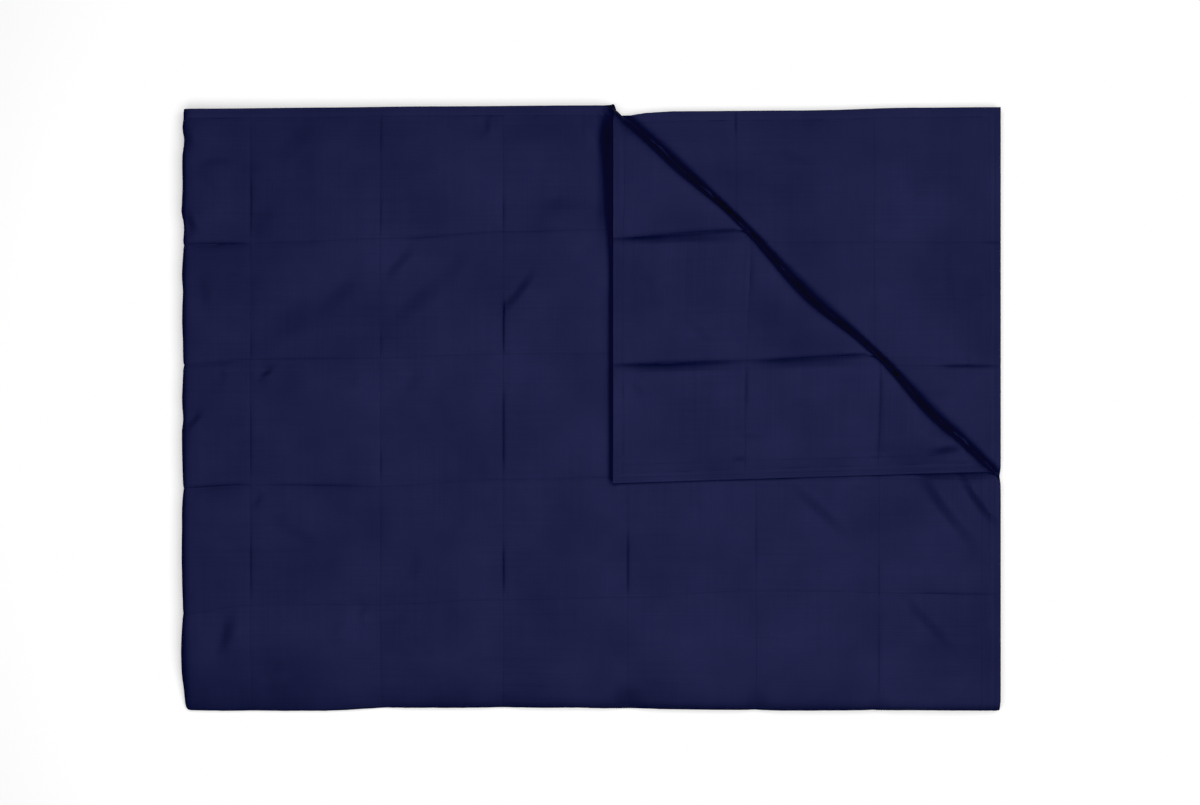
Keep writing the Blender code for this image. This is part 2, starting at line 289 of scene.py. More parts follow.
FLAP_CREASES = (
    (0.215, 0.2115, -0.005, 0.208, 0.0, 0.014, 0.0086),
    (0.215, 0.053, -0.005, 0.05, 0.0, 0.014, 0.0086),
    (0.372, 0.059, 0.17, 0.053, 0.0, 0.015, 0.0092),
    (0.05, 0.197, 0.09, 0.122, 0.0, 0.018, 0.0039),
    (0.092, 0.149, 0.053, 0.154, 0.0, 0.0156, 0.0018),
    (0.17, 0.056, 0.094, 0.132, -0.003, 0.0192, 0.0051),
    (0.225, 0.089, 0.182, 0.111, 0.0, 0.018, 0.003),
    (0.048, 0.04, 0.066, 0.012, 0.0, 0.0144, 0.0036),
    (0.227, -0.041, 0.172, -0.026, 0.0, 0.0156, 0.0048),
    (0.172, -0.061, 0.196, -0.061, 0.0, 0.0096, 0.0033),
    (0.373, -0.059, 0.332, -0.059, 0.0, 0.0096, 0.0033),
    (0.406, -0.054, 0.472, -0.045, 0.0, 0.0132, 0.0084),
    (0.448, -0.036, 0.398, -0.026, 0.0, 0.0144, 0.0039),
    (0.154, -0.005, 0.098, 0.011, -0.002, 0.0168, 0.0024),
    (0.294, -0.003, 0.226, 0.013, -0.002, 0.018, 0.003),
    (0.324, -0.024, 0.246, -0.03, 0.003, 0.0168, 0.0024),
)
SECOND_CREASES = (
    (0.294, 0.298, 0.214, 0.324, 0.0, 0.0168, 0.0027),
    (0.414, 0.232, 0.38, 0.344, -0.004, 0.036, 0.0045),
    (0.449, 0.112, 0.44, 0.208, 0.0, 0.018, 0.0042),
    (0.508, 0.146, 0.464, 0.137, 0.0, 0.0084, 0.0021),
    (0.473, 0.057, 0.462, 0.063, -0.002, 0.0084, 0.0021),
)

# The groove that the turned corner's left edge presses into the top layer: ends, reaches and depth.
FLAP_EDGE_X = 0.0262
FLAP_GROOVE_START = (FLAP_EDGE_X, -0.104)
FLAP_GROOVE_END = (FLAP_EDGE_X, 0.4)
FLAP_GROOVE_LEFT = 0.0145
FLAP_GROOVE_RIGHT = 0.012
FLAP_GROOVE_DEPTH = 0.0068
# The share of its length over which that groove, a tight stretch of a seam or a crease dies away.
PRESS_FADE = 0.05
TIGHT_FADE = 0.3
CREASE_FADE = 0.45
CREASE_SHOULDER = 2.2  # a crease's ridge and trough reach this many widths of the steep band

# Tight stretches of column seams: seam, from and to how far from the far hem, how far the slope reaches
# towards the top layer's free edge and away from it, depth.
TOP_COLUMNS = (
    (6, 0.077, 0.163, 0.0026, 0.0018, 0.001),
    (6, 0.275, 0.317, 0.0025, 0.0018, 0.0008),
    (6, 0.361, 0.465, 0.0025, 0.0018, 0.0008),
    (6, 0.525, 0.617, 0.0025, 0.0018, 0.001),
    (5, 0.0, 0.06, 0.0025, 0.0018, 0.0009),
    (5, 0.107, 0.162, 0.0025, 0.0018, 0.0007),
    (5, 0.275, 0.313, 0.0025, 0.0018, 0.0009),
    (5, 0.421, 0.467, 0.0025, 0.0018, 0.001),
    (4, 0.105, 0.163, 0.0025, 0.0018, 0.001),
    (4, 0.23, 0.316, 0.0026, 0.0024, 0.0023),
    (4, 0.335, 0.468, 0.0026, 0.0024, 0.0018),
    (4, 0.535, 0.61, 0.0026, 0.0024, 0.0019),
    (3, 0.52, 0.616, 0.0026, 0.0024, 0.0018),
    (2, 0.495, 0.58, 0.002, 0.002, 0.0006),
    (1, 0.555, 0.617, 0.002, 0.002, 0.0008),
    (1, 0.623, 0.741, 0.002, 0.002, 0.0007),
)
FLAP_COLUMNS = (
    (2, -0.03, 0.18, 0.006, 0.004, 0.0034),
    (1, -0.03, 0.175, 0.006, 0.004, 0.0034),
    (1, 0.14, 0.33, 0.006, 0.004, 0.0036),
)
SECOND_COLUMNS = (
    (10, 0.0, 0.04, 0.0018, 0.0025, 0.0024),
    (11, 0.0, 0.036, 0.0018, 0.0025, 0.0018),
    (11, 0.262, 0.3, 0.0018, 0.0022, 0.0014),
)

# Tight stretches of row seams: seam, from and to how far from the top layer's free edge, how far the slope
# reaches towards the far hem and away from it, depth.
TOP_ROWS = (
    (1, 0.925, 1.02, 0.0045, 0.017, 0.0042),
    (1, 0.83, 0.915, 0.004, 0.009, 0.0012),
    (1, 0.5, 0.79, 0.016, 0.004, 0.001),
    (1, 0.69, 0.745, 0.003, 0.003, 0.0008),
    (2, 0.92, 1.03, 0.004, 0.007, 0.0015),
    (2, 0.8, 0.94, 0.004, 0.005, 0.0008),
    (3, 0.925, 1.02, 0.0045, 0.016, 0.0036),
    (3, 0.775, 0.925, 0.005, 0.013, 0.002),
    (3, 0.3, 0.76, 0.005, 0.005, 0.0006),
    (4, -0.02, 0.11, 0.004, 0.005, 0.0012),
)
FLAP_ROWS = (
    (1, 0.08, 0.155, 0.003, 0.0045, 0.0014),
    (1, 0.228, 0.268, 0.003, 0.0045, 0.0012),
    (2, 0.0, 0.155, 0.003, 0.0045, 0.0014),
)
SECOND_ROWS = (
    (2, 1.945, 2.04, 0.004, 0.0045, 0.0032),
    (1, 2.005, 2.04, 0.0035, 0.0035, 0.0016),
)

STITCH_PITCH = 0.0032
STITCH_LENGTH = 0.0026
# A stitch's rings: place along it over its length, height above the cloth, and radius.
STITCH_RINGS = (
    (-0.5, -0.0002, 0.0001), (-0.25, 0.0002, 0.00022),
    (0.25, 0.0002, 0.00022), (0.5, -0.0002, 0.0001),
)
STITCH_SIDES = 5
SIDE_STITCHES = (0.007, 0.0235)  # how far from the side hems their own lines of stitches run
PROBE = 0.001  # the height used to find which way the cloth faces
THREAD_PITCH = 0.0007
WAVES_PER_METRE = 0.314  # the wave texture's scale for one wave a metre, which is pi / 10
ALONG_THREADS = 6.0  # the noise scale of the threads' unevenness, along them and across them
ACROSS_THREADS = 620.0
TONE_ENDS = (0.25, 0.75)  # the values of a noise texture that give its two tones
TONE_SPREAD = 0.13  # how far the cloth's tone drifts to either side of its colour
SMOOTHEST = 0.7  # the cloth's roughness varies between these, as if rubbed by handling
ROUGHEST = 1.0
NAVY = (0.0222, 0.0243, 0.0688)

# ---- the studio's sizes

FLOOR_TONE = (0.88, 0.88, 0.88)
FLOOR_GLOW = 0.26
BLACK_POINT = 0.0115  # what the picture takes off every colour, and what more it takes off blue
BLUE_DEEPER = 0.004
DEEPEST = 0.0024  # the red and the green that the deepest shadows keep
SKY = 0.05
SOFTBOX_PLACE = (0.25, -0.03, 1.8)
SOFTBOX_WIDTH = 2.4
SOFTBOX_POWER = 51.5
CAMERA_HEIGHT = 3.2
CAMERA_PLACE = (0.0113, 0.0083)
FRAME_WIDTH = 1.485  # the width that the camera sees at the top layer's height


def put_in_scene(name, data):
    item = bpy.data.objects.new(name, data)
    bpy.context.scene.collection.objects.link(item)
    return item


def smooth_step(share):
    """Rise from 0 to 1 with level ends."""
    share = np.clip(share, 0.0, 1.0)
    return share * share * (3.0 - 2.0 * share)


def read_table(table, place):
    """Read a two-column table at many places, smoothly from row to row, with level ends."""
    places, values = np.array(table).T
    place = np.clip(place, places[0], places[-1])
    index = np.clip(np.searchsorted(places, place) - 1, 0, len(places) - 2)
    share = (place - places[index]) / (places[index + 1] - places[index])
    return values[index] + (values[index + 1] - values[index]) * smooth_step(share)


def column_seams():
    """Every column seam's distance across from the top layer's free edge."""
    return np.concatenate(([HEM_WIDTH], np.cumsum(COLUMN_WIDTHS)[:-1], [QUILT_WIDTH - HEM_WIDTH]))


def row_seams(across):
    """Every row seam's distance from y = FOLDED_FAR, at many places across: one column for each seam."""
    across = np.atleast_1d(across)
    seams = [FOLDED_FAR - read_table(FAR_EDGE, across) + HEM_WIDTH]
    seams += [read_table(tuple(zip(ROW_STATIONS, row)), across) for row in UPPER_ROWS]
    seams.append(np.full(len(across), 0.5 * (BEND_START + BEND_END)))
    seams += [np.interp(across, LOWER_STATIONS, row) for row in LOWER_ROWS]
    seams.append(BEND_END + read_table(LOWEST_EDGE, across) - NEAR_AXIS_Y - HEM_WIDTH)
    return np.stack(seams, axis=1)


def lines_between(seams, bend, fine):
    """Place the lines of one direction. fine says of each square whether it is finely modelled."""
    lines = [seams[0] - HEM_WIDTH + offset for offset in HEM_OFFSETS]
    for start, end, closely in zip(seams, seams[1:], fine):
        offsets = FINE_OFFSETS if closely else COARSE_OFFSETS
        inner = [start + offset for offset in offsets] + [end - offset for offset in offsets]
        if closely:
            inner.append(0.5 * (start + end))
        inside_bend = [place for place in bend if start + LINE_GAP < place < end - LINE_GAP]
        if inside_bend:
            low = min(inside_bend) - 2.0 * LINE_GAP
            high = max(inside_bend) + 2.0 * LINE_GAP
            inner = [place for place in inner if not low < place < high] + inside_bend
        lines.append(start)
        lines += sorted(inner)
    lines.append(seams[-1])
    lines += [seams[-1] + HEM_WIDTH - offset for offset in reversed(HEM_OFFSETS)]
    return lines


def column_lines():
    """The column lines' distances across from the top layer's free edge."""
    bend = FOLD_AT + pi * LEFT_RADIUS * np.arange(LEFT_STEPS + 1) / LEFT_STEPS
    fine = [not COLUMNS_SHOWN <= column < SECOND_COLUMN_SHOWN for column in range(len(COLUMN_WIDTHS))]
    lines = lines_between(list(column_seams()), list(bend), fine)
    beside_flap = [FOLDED_RIGHT - FLAP_EDGE_X + offset for offset in GROOVE_OFFSETS]
    clear = [line for line in lines if min(abs(line - place) for place in beside_flap) > GROOVE_GAP]
    return np.array(sorted(clear + beside_flap))


def row_lines(across):
    """The row lines' distances: one row of them for each place across."""
    bend = list(BEND_START + (BEND_END - BEND_START) * np.arange(NEAR_STEPS + 1) / NEAR_STEPS)
    fine = [row <= len(UPPER_ROWS) for row in range(len(UPPER_ROWS) + len(LOWER_ROWS) + 2)]
    return np.array([lines_between(list(seams), bend, fine) for seams in row_seams(across)])


def flat_slab():
    """The unfolded blanket as a closed slab. The front's vertices are at z = 1 and the back's at z = -1."""
    columns = column_lines()[::-1]
    rows = row_lines(columns)[:, ::-1]
    slab = bmesh.new()
    bmesh.ops.create_grid(slab, x_segments=len(columns) - 1, y_segments=rows.shape[1] - 1, size=0.5)
    for index, vertex in enumerate(slab.verts):
        row, column = divmod(index, len(columns))
        vertex.co = (FOLDED_RIGHT - columns[column], FOLDED_FAR - rows[column, row], -1.0)
    extruded = bmesh.ops.extrude_face_region(slab, geom=slab.faces[:])
    for item in extruded["geom"]:
        if isinstance(item, bmesh.types.BMVert):
            item.co.z = 1.0
    bmesh.ops.recalc_face_normals(slab, faces=slab.faces[:])
    for offset in ROLL_CUTS:
        place = LINE_START + offset * ACROSS_LINE
        everything = slab.verts[:] + slab.edges[:] + slab.faces[:]
        bmesh.ops.bisect_plane(
            slab, geom=everything, dist=1e-6,
            plane_co=(place[0], place[1], 0.0), plane_no=(ACROSS_LINE[0], ACROSS_LINE[1], 0.0))
    crowded = [face for face in slab.faces if len(face.verts) > 4]
    bmesh.ops.triangulate(slab, faces=crowded)
    return slab


# ---- folding

def turn_corner(x, y, height):
    """Bend the top layer's free corner up and over, and let it settle on that layer."""
    away = np.stack((x, y), axis=1) - LINE_START
    ease = smooth_step(0.5 + away @ ACROSS_LINE / EASE_REACH)
    crept = np.stack((read_table(TURNED_EASE, FOLDED_RIGHT - x), read_table(FAR_EASE, x)), axis=1)
    away += crept * ease[:, None]
    along = away @ ALONG_LINE
    course = read_table(ROLL_COURSE, along)
    past_middle = away @ ACROSS_LINE - course
    radius = read_table(ROLL_RADIUS, along)
    bend_start = -0.5 * pi * radius
    turned = (past_middle > bend_start) & (x > LEFT_AXIS_X)
    angle = np.clip((past_middle - bend_start) / radius, 0.0, pi)
    beyond = np.maximum(past_middle + bend_start, 0.0)
    arm = radius - height
    across = bend_start + arm * np.sin(angle) - beyond
    across += course * (1.0 - 2.0 * smooth_step(beyond / COURSE_LENGTH))
    quarter_height = np.where(angle < 0.5 * pi, ROLL_BELOW, ROLL_ABOVE) * radius
    new_height = ROLL_BELOW * radius - (quarter_height - height) * np.cos(angle)
    new_height -= ((ROLL_BELOW + ROLL_ABOVE) * radius - LAYER_PITCH) * smooth_step(beyond / SETTLE_LENGTH)
    new_height += HEM_STANDS_UP * (1.0 - smooth_step((FOLDED_FAR - y) / HEM_CURL))
    near_side_hem = 1.0 - smooth_step((FOLDED_RIGHT - x) / SIDE_HEM_REACH)
    new_height -= SIDE_HEM_SINKS * near_side_hem * smooth_step(beyond / SIDE_HEM_START)
    plan = LINE_START + along[:, None] * ALONG_LINE + across[:, None] * ACROSS_LINE
    plan += CORNER_SHIFT * (beyond / (CORNER_REACH + bend_start))[:, None]
    x = np.where(turned, plan[:, 0], x)
    y = np.where(turned, plan[:, 1], y)
    return x, y, np.where(turned, new_height, height)


def fold_left_under(x, y, height):
    """Fold what lies left of the left axis under the rest."""
    past = LEFT_AXIS_X - x
    angle = np.clip(past / LEFT_RADIUS, 0.0, pi)
    beyond = np.maximum(past - pi * LEFT_RADIUS, 0.0)
    arm = LEFT_RADIUS + height
    folded = past > 0.0
    x = np.where(folded, LEFT_AXIS_X - arm * np.sin(angle) + beyond, x)
    return x, y, np.where(folded, arm * np.cos(angle) - LEFT_RADIUS, height)


def fold_near_under(x, y, height):
    """Fold what lies nearer than the near axis under the rest, a little narrower towards its hem."""
    past = NEAR_AXIS_Y - y
    angle = np.clip(past / NEAR_RADIUS, 0.0, pi)
    beyond = np.maximum(past - pi * NEAR_RADIUS, 0.0)
    arm = NEAR_RADIUS + height
    folded = past > 0.0
    narrower = 1.0 - UNDER_HALF_NARROWS * smooth_step(beyond / BEND_START)
    x = np.where(folded, x * narrower, x)
    y = np.where(folded, NEAR_AXIS_Y - arm * np.sin(angle) + beyond, y)
    return x, y, np.where(folded, arm * np.cos(angle) - NEAR_RADIUS, height)


def draw_in(x, y):
    """Give the folded edges their uneven outlines, and the near one its fuller rounding."""
    from_left = x + FOLDED_RIGHT
    from_near = y + FOLDED_FAR
    inwards = (1.0 - smooth_step(from_near / DRAWN_IN_REACH)) * read_table(NEAR_DRAWN_IN, x)
    rounder = smooth_step(from_near / ROUNDING) - smooth_step((from_near - ROUNDING) / ROUNDER_REACH)
    inwards += rounder * read_table(NEAR_ROUNDER, x)
    sideways = (1.0 - smooth_step(from_left / DRAWN_IN_REACH)) * read_table(LEFT_DRAWN_IN, y)
    return x + sideways, y + inwards


def past_outline(x, y):
    """How far along the straight line a place lies, and how far past the roll's outline, from above."""
    away = np.stack((x, y), axis=1) - LINE_START
    along = away @ ALONG_LINE
    radius = read_table(ROLL_RADIUS, along)
    outline = read_table(ROLL_COURSE, along) - (0.5 * pi - 1.0) * radius + 0.5 * CROWN
    return along, away @ ACROSS_LINE - outline


def dimples(x, from_near):
    """The share of the height that the near fold's dimples take."""
    lost = np.zeros(len(x))
    for place, reach, share in DIMPLES:
        beside = smooth_step(1.0 - np.abs(x - place) / reach)
        lost += share * beside * smooth_step(1.0 - from_near / DIMPLE_START)
    return lost


def height_share(x, y):
    """The share of its height that the stack keeps at a place."""
    from_near = y + FOLDED_FAR
    from_free_edge = np.minimum(FOLDED_RIGHT - x, FOLDED_FAR - y)
    press = EDGE_PRESS * (1.0 - smooth_step(from_free_edge / EDGE_REACH))
    near_fall = read_table(NEAR_FALL, x) * groove(from_near, 1.0, read_table(NEAR_FALL_REACH, x))
    left_fall = LEFT_FALL * groove(x + FOLDED_RIGHT, 1.0, LEFT_FALL_REACH)
    valley = read_table(VALLEY_ALONG, y) * read_table(VALLEY_ACROSS, x)
    along, past = past_outline(x, y)
    under_roll = FOOT_UNDER_ROLL * read_table(ROLL_RADIUS, along)
    sinks = FOOT_SINKS * groove(past, under_roll, read_table(FOOT_REACH, along))
    return 1.0 - press - near_fall - left_fall - dimples(x, from_near) - valley - sinks


def fold(flat, lift):
    """Carry points of the unfolded blanket, at lift above the middle of the sheet, to their folded places."""
    x, y, height = turn_corner(flat[:, 0], flat[:, 1], lift)
    x, y, height = fold_left_under(x, y, height)
    x, y, height = fold_near_under(x, y, height)
    x, y = draw_in(x, y)
    return np.stack((x, y, (height + TOP_HEIGHT) * height_share(x, y)), axis=1)


# ---- thickness and creases

def seam_distances(flat):
    """Distances to the nearest column seam and row seam, and from the hem's edge."""
    across = FOLDED_RIGHT - flat[:, 0]
    down = FOLDED_FAR - flat[:, 1]
    columns = column_seams()
    rows = row_seams(across)
    to_column = np.abs(across[:, None] - columns).min(axis=1)
    to_row = np.abs(down[:, None] - rows).min(axis=1)
    from_edge = np.minimum.reduce((
        across - (columns[0] - HEM_WIDTH), columns[-1] + HEM_WIDTH - across,
        down - (rows[:, 0] - HEM_WIDTH), rows[:, -1] + HEM_WIDTH - down))
    return to_column, to_row, from_edge


def noise(places, size, seed):
    """Smooth random heights between -1 and 1, on a lattice of one size or of a size for each direction."""
    lattice = np.random.default_rng(seed).uniform(-1.0, 1.0, (LATTICE, LATTICE))
    scaled = places / np.array(size)
    cell = np.floor(scaled).astype(int)
    share = smooth_step(scaled - cell)
    near_left, far_left, near_right, far_right = (
        lattice[(cell[:, 0] + right) % LATTICE, (cell[:, 1] + far) % LATTICE]
        for right, far in ((0, 0), (0, 1), (1, 0), (1, 1)))
    left = near_left + (far_left - near_left) * share[:, 1]
    right = near_right + (far_right - near_right) * share[:, 1]
    return left + (right - left) * share[:, 0]


def on_turned_axes(places, angle):
    """Places seen from axes turned by an angle, so that noise can be stretched in any direction."""
    along = np.array((cos(angle), sin(angle)))
    across = np.array((-sin(angle), cos(angle)))
    return np.stack((places @ along, places @ across), axis=1)


def fill_rise(distance, channel_share):
    """How much of its full thickness a square has at a distance from a seam."""
    narrow = np.sin(0.5 * pi * np.clip(distance / CHANNEL, 0.0, 1.0))
    broad = np.sin(0.5 * pi * np.clip(distance / SHOULDER, 0.0, 1.0))
    return channel_share * narrow + (1.0 - channel_share) * broad


def half_thickness(flat):
    """Half the thickness of the cloth and its filling, before the creases."""
    to_column, to_row, from_edge = seam_distances(flat)
    share = CHANNEL_SHARE * (1.0 + CHANNEL_VARIES * noise(flat, CHANNEL_SIZE, 11))
    filled = SEAM + (CROWN - SEAM) * fill_rise(to_column, share) * fill_rise(to_row, share)
    rounding = np.sin(0.5 * pi * np.clip(from_edge / HEM_ROUNDING, 0.0, 1.0))
    hem = HEM_EDGE + (HEM_THICKNESS - HEM_EDGE) * rounding
    hem += (SEAM - HEM_THICKNESS) * smooth_step((from_edge - HEM_FALL_START) / HEM_FALL)
    hem -= EDGE_LINE_DEPTH * groove(from_edge - EDGE_LINE, EDGE_LINE_REACH, EDGE_LINE_REACH)
    return 0.5 * np.where(from_edge < HEM_WIDTH - HEM_MARGIN, hem, filled)


def unevenness(flat):
    """The soft swell of a filled square, and the ripples that a drawn-in seam leaves beside it."""
    to_column, to_row, from_edge = seam_distances(flat)
    inner = smooth_step(np.minimum(to_column, to_row) / SWELL_START)
    swell = np.zeros(len(flat))
    for height, size, angle, seed in SWELLS:
        swell += height * noise(on_turned_axes(flat, angle), size, seed)
    beside_column = np.exp(-to_column / RIPPLE_REACH) * noise(flat, (RIPPLE_LENGTH, RIPPLE_WIDTH), 24)
    beside_row = np.exp(-to_row / RIPPLE_REACH) * noise(flat, (RIPPLE_WIDTH, RIPPLE_LENGTH), 25)
    hem_ripple = HEM_RIPPLES * noise(flat, HEM_RIPPLE_SIZE, 26) * smooth_step(from_edge / HEM_RIPPLE_START)
    ripples = RIPPLES * (beside_column + beside_row)
    return np.where(from_edge > HEM_WIDTH, inner * swell + ripples, hem_ripple)


def places_along(seen, start, end):
    """Each place's share of the way from start to end, and its distance to the left of that way."""
    start = np.array(start)
    way = np.array(end) - start
    length = np.linalg.norm(way)
    way = way / length
    away = seen - start
    return np.clip(away @ way / length, 0.0, 1.0), away @ np.array((-way[1], way[0]))


def faded(share, fade):
    """Nothing at either end, and full from the share fade on."""
    return smooth_step(share / fade) * smooth_step((1.0 - share) / fade)


def places_by_crease(seen, crease):
    """Each place's share of the way along a crease, and its distance to the left of the bowed middle."""
    share, to_left = places_along(seen, crease[0:2], crease[2:4])
    return share, to_left - 4.0 * crease[4] * share * (1.0 - share)


def crease_height(seen, crease):
    """One crease: a steep band between a soft ridge and a soft trough, which fades towards both ends."""
    share, aside = places_by_crease(seen, crease)
    width, drop = crease[5:]
    step = smooth_step(0.5 + aside / width) - 0.5
    step *= 1.0 - smooth_step((np.abs(aside) / width - 0.5) / CREASE_SHOULDER)
    return drop * faded(share, CREASE_FADE) * step


def groove(aside, before, after):
    """A groove's cross-section, 1 deep: each side rises to the cloth over its own reach."""
    gone = np.abs(aside) / np.where(aside < 0.0, before, after)
    return np.clip(1.0 - gone, 0.0, 1.0) ** 2


def flap_groove(seen):
    """How deep the turned corner's left edge presses into the top layer."""
    share, to_left = places_along(seen, FLAP_GROOVE_START, FLAP_GROOVE_END)
    across = groove(-to_left, FLAP_GROOVE_LEFT, FLAP_GROOVE_RIGHT)
    return FLAP_GROOVE_DEPTH * faded(share, PRESS_FADE) * across


def foot_shape(seen):
    """The dip along the foot of the turned corner's roll, 1 deep."""
    along, past = past_outline(seen[:, 0], seen[:, 1])
    return groove(past, FOOT_UNDER, read_table(FOOT_REACH, along))


def in_third_layer(flat):
    """Whether places are on the half that lies under the second layer."""
    return (flat[:, 0] < LEFT_AXIS_X - pi * LEFT_RADIUS) & (flat[:, 1] < NEAR_AXIS_Y - pi * NEAR_RADIUS)


def seam_depth(flat, columns, rows):
    """How deep the tight stretches of the seams lie, along and beside them."""
    across = FOLDED_RIGHT - flat[:, 0]
    down = FOLDED_FAR - flat[:, 1]
    row_places = row_seams(across)
    depths = np.zeros(len(flat))
    for seam, start, end, before, after, depth in columns:
        share = np.clip((down - start) / (end - start), 0.0, 1.0)
        depths += depth * faded(share, TIGHT_FADE) * groove(across - column_seams()[seam], before, after)
    for seam, start, end, before, after, depth in rows:
        share = np.clip((across - start) / (end - start), 0.0, 1.0)
        depths += depth * faded(share, TIGHT_FADE) * groove(down - row_places[:, seam], before, after)
    return depths


def flap_place(seen):
    """The place on the unfolded cloth of the turned corner's point that is seen at a place from above."""
    across = (seen - LINE_START) @ ACROSS_LINE
    unshifted = seen - CORNER_SHIFT * np.maximum(-across / CORNER_REACH, 0.0)[:, None]
    across = (unshifted - LINE_START) @ ACROSS_LINE
    return unshifted - 2.0 * across[:, None] * ACROSS_LINE


def shown_from_above(flat, seen):
    """How far each place shows, from above: on the top layer, the turned corner and the second layer."""
    past_line = (flat - LINE_START) @ ACROSS_LINE
    seen_past_line = (seen - LINE_START) @ ACROSS_LINE
    above = flap_place(seen)
    inside_flap = np.minimum(FOLDED_RIGHT - above[:, 0], FOLDED_FAR - above[:, 1])
    under_flap = np.minimum(-seen_past_line, inside_flap)
    on_top_layer = flat[:, 0] > LEFT_AXIS_X - pi * LEFT_RADIUS
    on_upper_half = flat[:, 1] > NEAR_AXIS_Y - NEAR_BEND_SHOWN * pi * NEAR_RADIUS
    top = on_top_layer * on_upper_half * (past_line < 0.0) * (1.0 - smooth_step(under_flap / FADE))
    flap = on_top_layer * smooth_step(past_line / TURN_FADE)
    clear_of_flap = smooth_step((seen_past_line + 2.0 * FADE) / FADE)
    second = ~on_top_layer * (flat[:, 1] > NEAR_AXIS_Y) * clear_of_flap
    return top, flap, second


def lift_above_middle(flat, side):
    """How far the cloth's front, at side 1, or its back, at side -1, lies above the middle of the sheet."""
    half = half_thickness(flat)
    seen = fold(flat, np.zeros(len(flat)))[:, :2]
    top, flap, second = shown_from_above(flat, seen)
    top_height = sum(crease_height(seen, crease) for crease in TOP_CREASES)
    top_height -= seam_depth(flat, TOP_COLUMNS, TOP_ROWS) + flap_groove(seen)
    flap_height = sum(crease_height(seen, crease) for crease in FLAP_CREASES)
    flap_height -= seam_depth(flat, FLAP_COLUMNS, FLAP_ROWS)
    second_height = sum(crease_height(seen, crease) for crease in SECOND_CREASES)
    foot = foot_shape(seen)
    second_height -= seam_depth(flat, SECOND_COLUMNS, SECOND_ROWS) + FOOT_DEPTH * foot
    uneven = unevenness(flat)
    front_lift = half + top * (uneven + top_height) - in_third_layer(flat) * THIRD_DIPS * foot
    back_lift = -half - flap * (uneven + flap_height) - second * (uneven + second_height)
    back_shows = (flap > 0.0) | (second > 0.0)
    front = np.where(back_shows, np.maximum(front_lift, back_lift + THINNEST), front_lift)
    back = np.where(back_shows, back_lift, np.minimum(back_lift, front_lift - THINNEST))
    return np.where(side > 0.0, front, back)


def surface(flat, side, above=0.0):
    """Places on the folded blanket's surface, or a little above it."""
    return fold(flat, lift_above_middle(flat, side) + side * above)


# ---- pieces

def longest_edges(flat, seen, top, flap, second, under_second):
    """How long an edge may be along x and along y, at many places. The last four tell its layer."""
    turned_back = np.maximum(flap, second)
    shows = (top > 0.0) | (turned_back > 0.0)
    limit = np.where(shows, PLAIN_EDGE, np.inf)
    for creases, layer in ((TOP_CREASES, top), (FLAP_CREASES + SECOND_CREASES, turned_back)):
        for crease in creases:
            share, aside = places_by_crease(seen, crease)
            within = (np.abs(aside) < CREASE_BAND * crease[5]) & (share > 0.0) & (share < 1.0)
            limit = np.where(within & (layer > 0.0), np.minimum(limit, CREASE_EDGE * crease[5]), limit)
    in_roll = shows & (np.abs((flat - LINE_START) @ ACROSS_LINE) < ROLL_BAND)
    along, past = past_outline(seen[:, 0], seen[:, 1])
    at_foot = (past > -FOOT_MARGIN) & (past < read_table(FOOT_REACH, along))
    limit = np.where(in_roll | at_foot & (second > 0.0), np.minimum(limit, ROLL_EDGE), limit)
    limit = np.where(at_foot & under_second, UNDER_EDGE, limit)
    before_bend = flat[:, 0] < LEFT_AXIS_X + LEFT_BEND_MARGIN
    in_bend = before_bend & (flat[:, 0] > LEFT_AXIS_X - LEFT_BEND_SHOWN * pi * LEFT_RADIUS)
    along_x = np.where(in_bend, np.minimum(limit, BEND_EDGE), limit)
    return along_x, limit


def cut_long_edges(slab):
    """Cut the edges that show until none is longer than its place allows."""
    for _ in range(CUTTING_ROUNDS):
        edges = [edge for edge in slab.edges if edge.verts[0].co.z == edge.verts[1].co.z]
        starts = np.array([edge.verts[0].co[:] for edge in edges])
        ends = np.array([edge.verts[1].co[:] for edge in edges])
        flat = 0.5 * (starts + ends)[:, :2]
        seen = fold(flat, np.zeros(len(flat)))[:, :2]
        top, flap, second = shown_from_above(flat, seen)
        on_front = starts[:, 2] > 0.0
        top = np.where(on_front, top, 0.0)
        flap = np.where(on_front, 0.0, flap)
        second = np.where(on_front, 0.0, second)
        under_second = on_front & (flat[:, 0] < LEFT_AXIS_X - pi * LEFT_RADIUS)
        along_x, along_y = longest_edges(flat, seen, top, flap, second, under_second)
        sides = np.abs(ends - starts)
        too_long = sides[:, 0] / along_x + sides[:, 1] / along_y > 1.0
        chosen = [edge for edge, is_long in zip(edges, too_long) if is_long]
        if not chosen:
            break
        bmesh.ops.subdivide_edges(slab, edges=chosen, cuts=1, use_grid_fill=True)


def blanket_piece():
    """The folded, quilted cloth with its filling, as one closed mesh."""
    slab = flat_slab()
    cut_long_edges(slab)
    bmesh.ops.triangulate(slab, faces=[face for face in slab.faces if len(face.verts) > 4])
    mesh = bpy.data.meshes.new("quilted_blanket")
    slab.to_mesh(mesh)
    slab.free()
    places = np.empty(3 * len(mesh.vertices), dtype=np.float32)
    mesh.vertices.foreach_get("co", places)
    places = places.reshape(-1, 3).astype(float)
    flat = places[:, :2]
    folded = surface(flat, places[:, 2])
    mesh.vertices.foreach_set("co", folded.astype(np.float32).ravel())
    lay_out_weave(mesh, flat)
    mesh.update()
    mesh.shade_smooth()
    sharpen_seams(mesh, flat)
    return put_in_scene("quilted_blanket", mesh)


